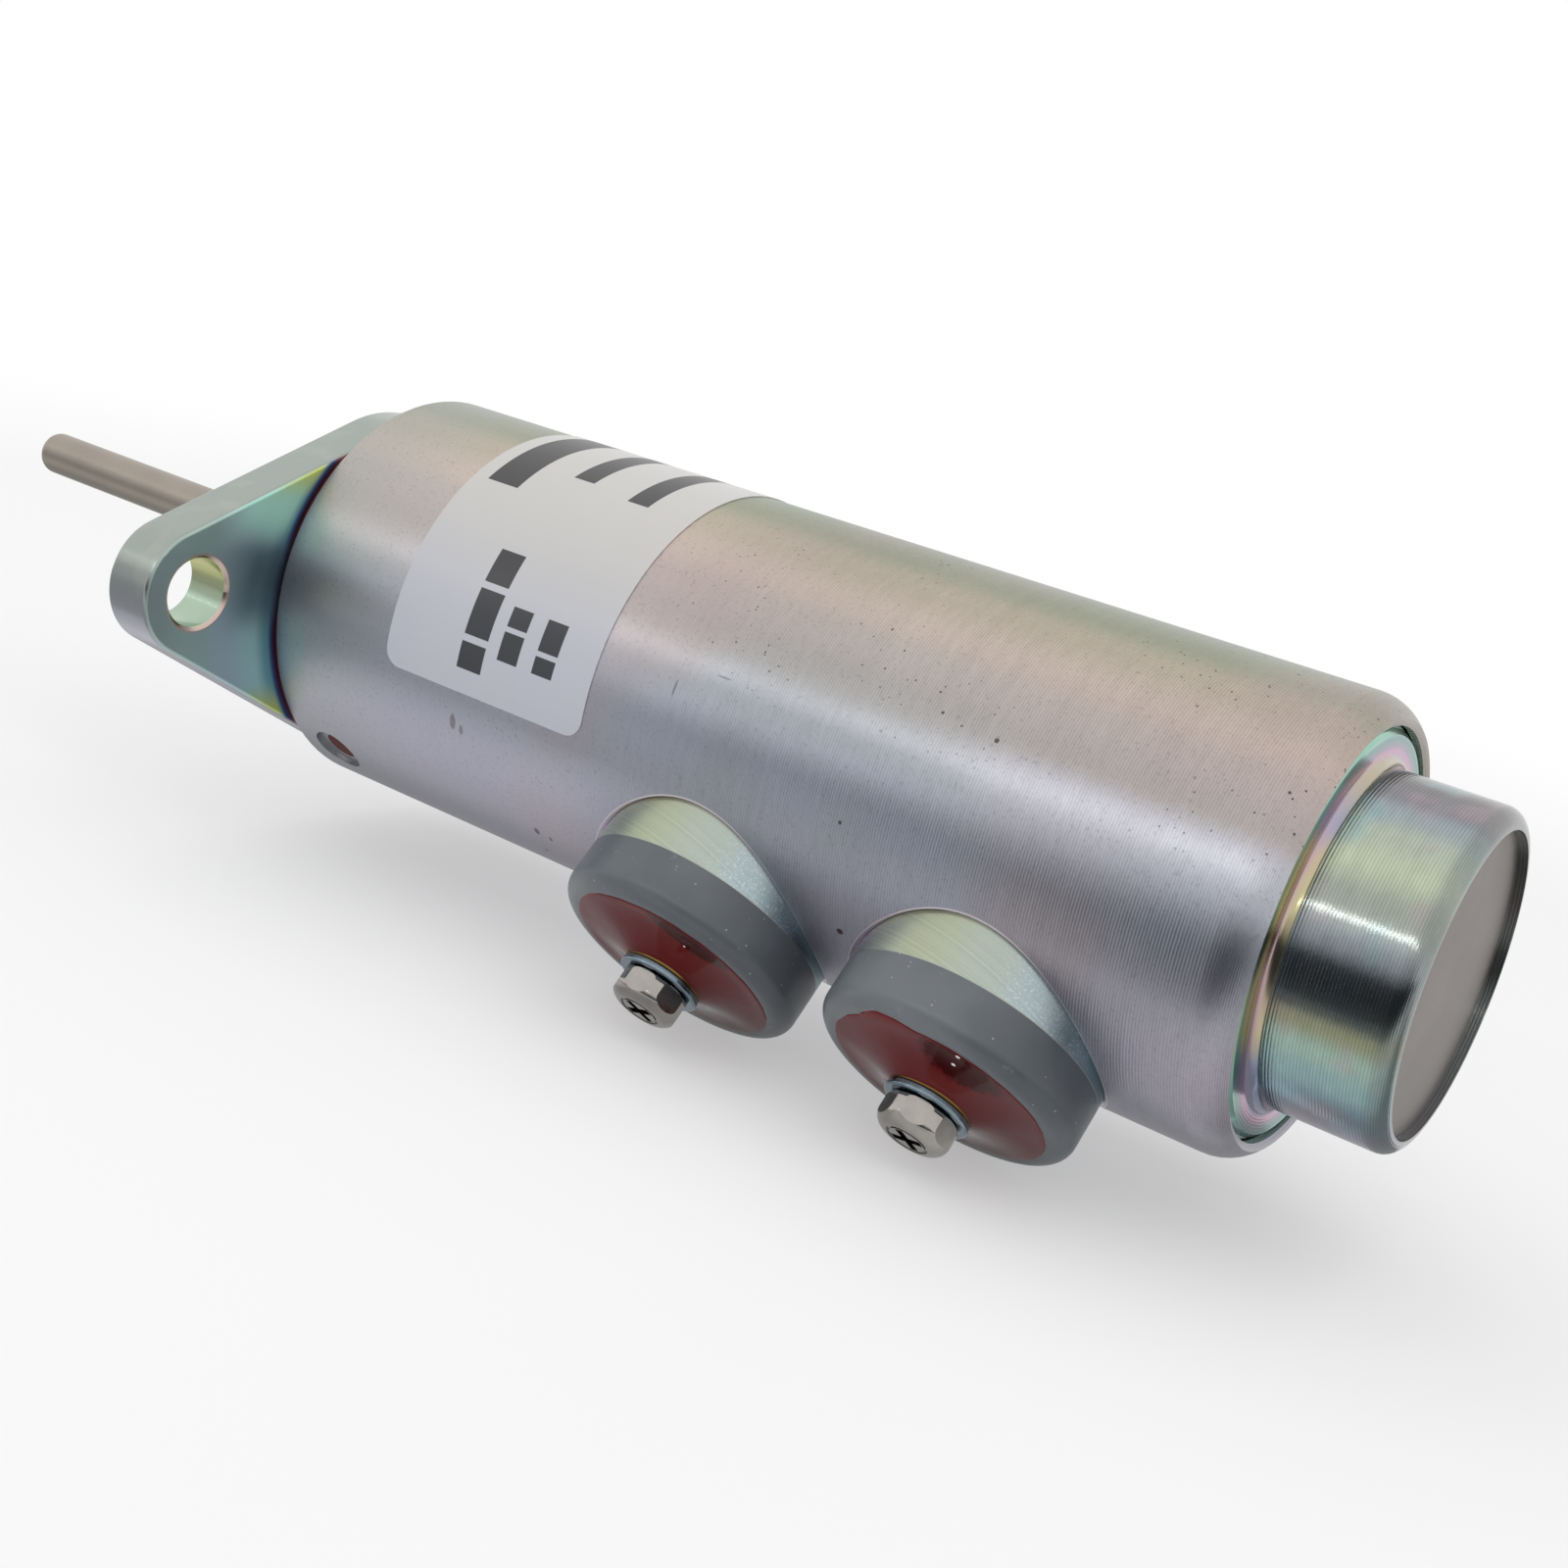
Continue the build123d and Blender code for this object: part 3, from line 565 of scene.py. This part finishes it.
# Plastics, rubber, resin and film
def insulator_plastic():
    shader = Shader("insulator_plastic", Specular_IOR_Level=0.5)
    base = shader.mix(shader.noise(120.0, 4.0, 0.6), srgb(78, 85, 91), srgb(106, 111, 115))
    cloud = shader.step(shader.noise(46.0, 3.0, 0.6), 0.42, 0.64)
    base = shader.mix(shader.times(cloud, 0.5), base, srgb(118, 123, 127))
    # Painted shade: each ring is darker on its side towards +X, 2 to 25 mm from its terminal's axis
    for place in TERMINAL_PLACES:
        painted_side_shade = shader.between(shader.add(shader.x, -place), 11 * MM, 16 * MM, 9 * MM)
        base = shader.mix(shader.times(painted_side_shade, 0.55), base, srgb(62, 69, 76))
    dust = shader.math("MAXIMUM", shader.specks(1100.0, 0.22, 0.15), shader.specks(520.0, 0.12, 0.09))
    base = shader.mix(shader.times(dust, 0.6), base, srgb(176, 178, 178))
    scratch = shader.noise(420.0, 3.0, 0.6, shader.vector(shader.x, shader.times(shader.y, 0.2), shader.z))
    base = shader.mix(shader.times(shader.step(scratch, 0.66, 0.74), 0.35), base, srgb(140, 143, 145))
    shader.bump(shader.noise(1800.0, 4.0, 0.6), strength=0.4, depth=0.03 * MM)
    shader.roughness(shader.add(0.24, shader.times(shader.noise(260.0, 3.0), 0.16)))
    return shader.colour(base)


# The painted dark reflection in each terminal's compound: how far it is turned in degrees, then in mm
# its place, its half lengths and its painted glints, each with a place and a radius
COMPOUND_DARK_REFLECTIONS = [
    (-32.0, (0.2, 10.9), (6.2, 1.9), [(4.9, 7.9, 0.16)]),
    (-28.0, (0.0, 10.2), (5.4, 3.4), [(4.8, 11.0, 0.30), (3.95, 9.0, 0.28)]),
]


def sealing_compound(number):
    """Dark red resin, with a painted dark reflection near the upper rim, in which painted glints show as
    small white spots.
    """
    shader = Shader(f"sealing_compound_{number}", Roughness=0.1, Specular_IOR_Level=0.16)
    turn, middle, size, painted_glint_spots = COMPOUND_DARK_REFLECTIONS[number - 1]
    along, side, _ = shader.at_terminal(TERMINAL_PLACES[number - 1])
    base = shader.mix(shader.noise(160.0, 3.0, 0.5), srgb(86, 20, 22), srgb(106, 32, 33))
    lean = radians(turn)
    lean_along = shader.add(shader.times(along, cos(lean)), shader.times(side, sin(lean)))
    lean_side = shader.add(shader.times(along, -sin(lean)), shader.times(side, cos(lean)))
    middle = (middle[0] * MM, middle[1] * MM)
    # Painted reflection: a darker patch where the resin mirrors a dark part of the room
    painted_dark_reflection = blot(shader, lean_along, lean_side, middle, (size[0] * MM, size[1] * MM))
    base = shader.mix(shader.times(painted_dark_reflection, 0.85), base, srgb(48, 7, 9))
    # Painted glints: small white spots within the dark patch
    for place_along, place_side, radius in painted_glint_spots:
        glint_spot = blot(shader, along, side, (place_along * MM, place_side * MM), (radius * MM, radius * MM))
        base = shader.mix(glint_spot, base, srgb(246, 238, 238))
    rim = shader.step(shader.length(along, side), COMPOUND_RADIUS - 0.4 * MM, COMPOUND_RADIUS - 0.1 * MM)
    base = shader.mix(shader.times(rim, 0.6), base, srgb(110, 20, 22))
    shader.bump(shader.noise(180.0, 2.0), strength=0.2, depth=0.2 * MM)
    return shader.colour(base)


def lock_sealant():
    shader = Shader("lock_sealant", Roughness=0.45, Specular_IOR_Level=0.15)
    base = shader.mix(shader.noise(900.0, 3.0), srgb(70, 14, 14), srgb(98, 24, 22))
    shader.bump(shader.noise(1600.0, 3.0), strength=0.4, depth=0.05 * MM)
    return shader.colour(base)


# Plain plastics and rubber, in the same form as the metals
PLAIN_PLASTICS = {
    "rubber": ((30, 30, 31), (40, 40, 41), 0.6),
    "bobbin_plastic": ((30, 31, 33), (44, 45, 48), 0.45),
    "switch_plastic": ((96, 52, 34), (80, 42, 28), 0.4),
    "insulating_film": ((196, 170, 110), (176, 150, 92), 0.4),
}


def plain_plastic(name):
    first, second, roughness = PLAIN_PLASTICS[name]
    shader = Shader(name)
    base = shader.mix(shader.noise(300.0, 3.0), srgb(*first), srgb(*second))
    shader.bump(shader.noise(1500.0, 3.0), strength=0.2, depth=0.02 * MM)
    shader.roughness(shader.add(roughness, shader.times(shader.noise(500.0, 2.0), 0.08)))
    return shader.colour(base)


# Bars that stand for the label's print: (place and length along X in mm, lowest angle, highest angle)
LABEL_BARS = [
    (36.5, 3.6, -0.5, 6.5),
    (36.5, 3.6, 8.5, 21.0),
    (36.5, 3.6, 23.0, 32.5),
    (42.0, 2.9, 5.0, 12.5),
    (42.0, 2.9, 14.0, 19.3),
    (47.2, 2.9, 5.0, 9.5),
    (47.2, 2.9, 11.0, 19.3),
    (27.6, 4.6, 51.5, 104.0),
    (37.0, 3.0, 62.5, 108.0),
    (46.0, 3.0, 60.0, 100.0),
]


def label_film():
    shader = Shader("label_film", Roughness=0.34, Specular_IOR_Level=0.5)
    angle = shader.angle()
    ink = 0.0
    for start, length, low, high in LABEL_BARS:
        across = shader.between(shader.x, start * MM, (start + length) * MM, 0.06 * MM)
        along = shader.between(angle, low, high, 0.12)
        ink = shader.math("MAXIMUM", ink, shader.times(across, along))
    # Painted shade: the label is darker and bluer low on the body, going over to a warmer white from 8 to
    # 46 degrees round
    base = shader.mix(shader.step(angle, 8, 46), srgb(188, 191, 202), srgb(200, 197, 194))
    base = shader.mix(shader.times(shader.noise(40.0, 2.0), 0.2), base, srgb(222, 222, 222))
    base = shader.mix(shader.times(ink, 0.94), base, srgb(28, 29, 34))
    shader.bump(shader.noise(160.0, 2.0), strength=0.12, depth=0.05 * MM)
    return shader.colour(base)


# The materials by slot, apart from those that each terminal has of its own
MATERIALS = {
    "shell_plating": shell_plating(),
    "flange_plating": flange_plating(),
    "cap_plating": cap_plating(),
    "disc_steel": disc_steel(),
    "rod_steel": rod_steel(),
    "copper_wire": copper_wire(),
    "label_film": label_film(),
    "insulator_plastic": insulator_plastic(),
    **{name: plain_metal(name) for name in PLAIN_METALS},
    **{name: plain_plastic(name) for name in PLAIN_PLASTICS},
}


def material_for(node, slot):
    """The material of a node. Each boss, each compound and the lock screw's sealant has its own."""
    if slot == "boss_plating":
        return boss_plating(int(node.split("_")[1]))
    if node == "lock_screw_sealant":
        return lock_sealant()
    if slot == "sealing_compound":
        return sealing_compound(int(node.split("_")[1]))
    return MATERIALS[slot]


for subpart in frame["record"]["subparts"]:
    materials = frame["nodes"][subpart["node"]].data.materials
    materials.clear()
    materials.append(material_for(subpart["node"], subpart["material_slot"]))


# Pieces that stand for nodes
def finished_piece(name, node, mesh, sharp_angle):
    """An object with the mesh, which rides on the housing and stands for the node."""
    mesh.shade_smooth()
    mesh.set_sharp_from_angle(angle=radians(sharp_angle))
    piece = bpy.data.objects.new(name, mesh)
    bpy.context.scene.collection.objects.link(piece)
    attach(piece, "housing")
    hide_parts(node)
    return piece


def ring_piece(name, node, origin, axis, across, outline, segments):
    """A closed ring that stands for a node. outline(angle) gives its section as (along axis, radius)."""
    beside = axis.cross(across)
    made = bmesh.new()
    sections = []
    for step in range(segments):
        angle = 2 * pi * step / segments
        way = across * cos(angle) + beside * sin(angle)
        places = [origin + axis * along + way * radius for along, radius in outline(angle)]
        sections.append([made.verts.new(place) for place in places])
    count = len(sections[0])
    for step in range(segments):
        here, after = sections[step], sections[(step + 1) % segments]
        for i in range(count):
            j = (i + 1) % count
            made.faces.new((here[i], here[j], after[j], after[i]))
    bmesh.ops.recalc_face_normals(made, faces=made.faces)
    mesh = bpy.data.meshes.new(name)
    made.to_mesh(mesh)
    made.free()
    mesh.materials.append(frame["nodes"][node].data.materials[0])
    return finished_piece(name, node, mesh, sharp_angle=32)


def copied_piece(name, node, change=None):
    """A copy of a node's mesh that stands for it, after change(mesh)."""
    mesh = frame["nodes"][node].data.copy()
    mesh.name = name
    if change:
        change(mesh)
    for attribute in ("custom_normal", "sharp_edge", "sharp_face"):
        if attribute in mesh.attributes:
            mesh.attributes.remove(mesh.attributes[attribute])
    return finished_piece(name, node, mesh, sharp_angle=28)


def quarter(centre, radius, first, last):
    """Points of an arc, from one angle in degrees to another."""
    steps = 8
    turns = [radians(first + (last - first) * i / steps) for i in range(steps + 1)]
    return [(centre[0] + radius * cos(turn), centre[1] + radius * sin(turn)) for turn in turns]


def cap_outline(_):
    """The end cap's section, the same all round: a plate with a step under the shell's lip, and the cup."""
    chamfer, root, edge_round = 0.5 * MM, 1.2 * MM, 1.9 * MM
    points = [(CAP_FRONT, CAP_BORE_RADIUS), (CAP_FRONT, CAP_RADIUS), (CAP_SEAT, CAP_RADIUS)]
    points += [(CAP_SEAT, CAP_STEP_RADIUS), (CAP_FACE - chamfer, CAP_STEP_RADIUS)]
    points += [(CAP_FACE, CAP_STEP_RADIUS - chamfer)]
    points += quarter((CAP_FACE + root, CUP_RADIUS + root), root, 180, 270)
    points += quarter((CAP_REAR - edge_round, CUP_RADIUS - edge_round), edge_round, 90, 2)
    points += [(CAP_REAR, CUP_MOUTH_RADIUS), (CAP_REAR - DISC_DEPTH, CUP_MOUTH_RADIUS)]
    points += [(CAP_REAR - DISC_DEPTH, CUP_BORE_RADIUS), (CUP_BOTTOM, CUP_BORE_RADIUS)]
    return points + [(CUP_BOTTOM, CAP_BORE_RADIUS)]


# The compound's surface from the screw's collar to its ragged edge: (radius, height from the axis), in mm
COMPOUND_RISE = [
    (4.82, 34.42), (5.1, 34.22), (5.6, 33.98), (6.3, 33.68), (7.2, 33.38), (8.3, 33.1), (9.5, 32.88),
    (10.6, 32.74), (11.5, 32.68),
]
# Where terminal 2's compound has run over the ring: middle and half width in degrees, and reach in mm
SPILL_ANGLE, SPILL_WIDTH, SPILL_REACH = 108, 17, 0.95


def compound_outline(number):
    """The sealing compound of one terminal, which climbs the screw's collar. Its section is built in mm."""
    bottom, edge_radius = COMPOUND_BOTTOM / MM, COMPOUND_RADIUS / MM
    collar, seat = 4.6, 12.3

    def outline(angle):
        around = Vector((cos(angle), sin(angle), number * 3.7))
        ragged = 0.09 * noise.noise(around * 2.5) + 0.09 * noise.noise(around * 8.0)
        spill = 0.0
        if number == 2:
            spill = SPILL_REACH * max(0.0, 1 - (degrees(angle) - SPILL_ANGLE) ** 2 / SPILL_WIDTH ** 2)
        edge = edge_radius + ragged + spill
        points = [(bottom, collar)]
        for radius, height in COMPOUND_RISE:
            swell = noise.noise(Vector((cos(angle) * radius / 5, sin(angle) * radius / 5, number * 9.1)))
            points.append((height + 0.10 * swell, radius))
        # The rounded edge over the insulator's ring, then down inside the ring
        points += [(32.67, edge - 0.35), (32.64 - 0.03 * spill, edge - 0.1), (32.5 - 0.1 * spill, edge)]
        points += [(32.3, seat), (bottom, seat)]
        return [(height * MM, radius * MM) for height, radius in points]
    return outline


def bevel_lip(mesh):
    """Opens the lip's mouth: the last of the shell's rear round turns into a short cone."""
    for vertex in mesh.vertices:
        radius = sqrt(vertex.co.y ** 2 + vertex.co.z ** 2)
        if vertex.co.x > CAP_FACE and LIP_MOUTH_RADIUS - 0.02 * MM < radius < LIP_RIM_RADIUS:
            share = max(0.0, (radius - LIP_MOUTH_RADIUS) / (LIP_RIM_RADIUS - LIP_MOUTH_RADIUS))
            wanted = CONE_RADIUS + CONE_RISE * share
            vertex.co.y *= wanted / radius
            vertex.co.z *= wanted / radius
            vertex.co.x = CONE_PLACE + CONE_LENGTH * share


def squeezed_spring(node):
    """A copy of a coil spring's mesh, unchanged, that stands for its node."""
    piece = copied_piece(f"{node}_coil", node)
    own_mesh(piece)


def turn_screw(place, turn):
    """A change that turns a terminal's screw round its own axis, by an angle in degrees."""
    def change(mesh):
        middle = Matrix.Translation(Vector((place, 0, 0)))
        mesh.transform(middle @ Matrix.Rotation(radians(turn), 4, TERMINAL_OUT) @ middle.inverted())
    return change


CAP_SEGMENTS, COMPOUND_SEGMENTS = 144, 180
SCREW_TURNS = (28, 17)

copied_piece("body_shell_beveled", "body_shell", bevel_lip)
squeezed_spring("return_spring")
squeezed_spring("contact_spring")
for number, (place, turn) in enumerate(zip(TERMINAL_PLACES, SCREW_TURNS), 1):
    screw = f"terminal_{number}_screw"
    copied_piece(f"{screw}_turned", screw, turn_screw(place, turn))
ring_piece("end_cap_turned", "end_cap", Vector(), Vector((1, 0, 0)), Vector((0, 1, 0)),
           cap_outline, CAP_SEGMENTS)
for number, place in enumerate(TERMINAL_PLACES, 1):
    compound = f"terminal_{number}_compound"
    ring_piece(f"{compound}_cast", compound, Vector((place, 0, 0)), TERMINAL_OUT,
               Vector((1, 0, 0)), compound_outline(number), COMPOUND_SEGMENTS)


# Studio: a pale floor, a large soft light overhead, a narrow one in front and a card for the reflections
def floor_material():
    """White paper with its own shadows near the object, going over to plain white further out."""
    shader = Shader("floor_paper", Roughness=0.9, Specular_IOR_Level=0.1)
    shader.colour(srgb(246, 246, 246))
    distance = shader.node("ShaderNodeVectorMath", [shader.place], operation="LENGTH").outputs["Value"]
    white = shader.math("MAXIMUM", shader.step(distance, 0.10, 0.42), 0.4)
    share = shader.times(white, shader.seen_directly())
    paper, plain = shader.surface.outputs[0], shader.emission((1, 1, 1, 1))
    shader.show(shader.node("ShaderNodeMixShader", [share, paper, plain]).outputs[0])
    return shader.material


def stage_piece(name, corners, faces, material):
    """A surface of the studio, which isn't part of the object."""
    mesh = bpy.data.meshes.new(name)
    mesh.from_pydata(corners, [], faces)
    mesh.materials.append(material)
    piece = bpy.data.objects.new(name, mesh)
    bpy.context.scene.collection.objects.link(piece)
    return piece


def floor():
    half = 6.0
    corners = [(-half, -half, 0), (half, -half, 0), (half, half, 0), (-half, half, 0)]
    sheet = stage_piece("floor", corners, [(0, 1, 2, 3)], floor_material())
    sheet.location.z = FLOOR_LEVEL


def greys(pairs):
    """Stops of a ramp from pairs of (value, level of grey)."""
    return [(value, (level, level, level, 1)) for value, level in pairs]


def card_material():
    """Light in a band under the object's near side, dark further out, and light again as it rises."""
    shader = Shader("dark_card")
    # The lying greys are a painted floor: painted shade close under the body, a light band in front and
    # dark further out
    lying_greys = [
        (-140, 0.02), (-90, 0.05), (-68, 0.22), (-52, 0.80),
        (-34, 0.95), (-20, 0.80), (-6, 0.42), (30, 0.34),
    ]
    lying = shader.ramp(shader.y, greys(lying_greys), MM)
    # Painted shadow: a darker patch where the terminals' shadow lies on the floor
    under = shader.between(shader.x, 64 * MM, 110 * MM, 20 * MM)
    under = shader.times(under, shader.between(shader.y, -44 * MM, -8 * MM, 10 * MM))
    lying = shader.mix(shader.times(under, 0.62), lying, (0.1, 0.1, 0.1, 1))
    rising_greys = [(-30, 0.0), (0, 0.06), (50, 0.32), (120, 0.66), (240, 1.0)]
    rising = shader.ramp(shader.z, greys(rising_greys), MM)

    # The left part is light. Leftward is the distance to the cup's left over the distance in front of it.
    in_front = shader.math("MINIMUM", -0.001, shader.y)
    leftward = shader.math("DIVIDE", shader.add(shader.x, -CUP_MIDDLE), in_front)
    left_light = shader.times(shader.step(leftward, 0.27, 0.66), 0.84)
    far_left = shader.step(leftward, 1.05, 1.5)
    left_light = shader.times(left_light, shader.add(1.0, shader.times(far_left, -0.4)))
    light = shader.math("MAXIMUM", shader.math("MAXIMUM", lying, rising), left_light)
    colour = shader.mix(light, (0.020, 0.024, 0.030, 1), (0.86, 0.87, 0.88, 1))
    shader.show(shader.emission(colour))
    return shader.material


def dark_card():
    """A card in front of and below the body, which only reflections show: it lies down, then rises."""
    near, far, top = 0.03, -0.62, 0.24
    left, right = -0.9, 1.4
    low = FLOOR_LEVEL + 0.5 * MM
    profile = [(near, low), (far, low), (far, top)]
    corners = [(x, y, z) for x in (left, right) for y, z in profile]
    card = stage_piece("dark_card", corners, [(0, 1, 4, 3), (1, 2, 5, 4)], card_material())
    card.visible_camera = False
    card.visible_diffuse = False
    card.visible_shadow = False
    card.visible_transmission = False


def soft_light(name, place, target, size, radiance, mirrored):
    """A rectangular lamp of the given brightness, whose size is (width, height)."""
    data = bpy.data.lights.new(name, "AREA")
    data.shape = "RECTANGLE"
    data.size, data.size_y = size
    data.energy = pi * size[0] * size[1] * radiance
    lamp = bpy.data.objects.new(name, data)
    bpy.context.scene.collection.objects.link(lamp)
    lamp.location = place
    lamp.rotation_euler = (Vector(target) - Vector(place)).to_track_quat("-Z", "Y").to_euler()
    lamp.visible_glossy = mirrored


def world(diffuse_level):
    """White where it is seen or mirrored, and a plain grey where it only lights matt surfaces."""
    made = bpy.data.worlds.new("studio")
    bpy.context.scene.world = made
    made.use_nodes = True
    nodes = Nodes(made.node_tree)
    level = nodes.node("ShaderNodeMapRange", {"Value": nodes.seen_directly(), "To Min": diffuse_level})
    background = made.node_tree.nodes["Background"]
    nodes.give(background.inputs["Strength"], level.outputs["Result"])
    background.inputs["Color"].default_value = (1, 1, 1, 1)


def camera():
    """The photograph's view: from the rear, the near side and above, rolled a little."""
    data = bpy.data.cameras.new("camera")
    data.lens = 48.297
    data.sensor_width = 36.0
    data.clip_start, data.clip_end = 0.01, 50.0
    right = Vector((0.80889, 0.54253, 0.22662))
    up = Vector((-0.32072, 0.08411, 0.94343))
    back = Vector((0.49278, -0.83582, 0.24204))
    made = bpy.data.objects.new("camera", data)
    bpy.context.scene.collection.objects.link(made)
    turn = Matrix((right, up, back)).transposed()
    place = Vector((190.748, -208.701, 54.130)) * MM
    made.matrix_world = Matrix.Translation(place) @ turn.to_4x4()
    bpy.context.scene.camera = made


floor()
dark_card()
soft_light("overhead", place=(-0.05, -0.12, 0.62), target=(-0.05, -0.12, 0.0), size=(1.9, 1.1),
           radiance=0.72, mirrored=False)
soft_light("front_strip", place=(-0.10, -0.80, 0.46), target=(0.05, 0.0, 0.0), size=(1.3, 0.022),
           radiance=6.5, mirrored=True)
world(diffuse_level=0.55)
camera()
bpy.context.scene.view_settings.view_transform = "Standard"
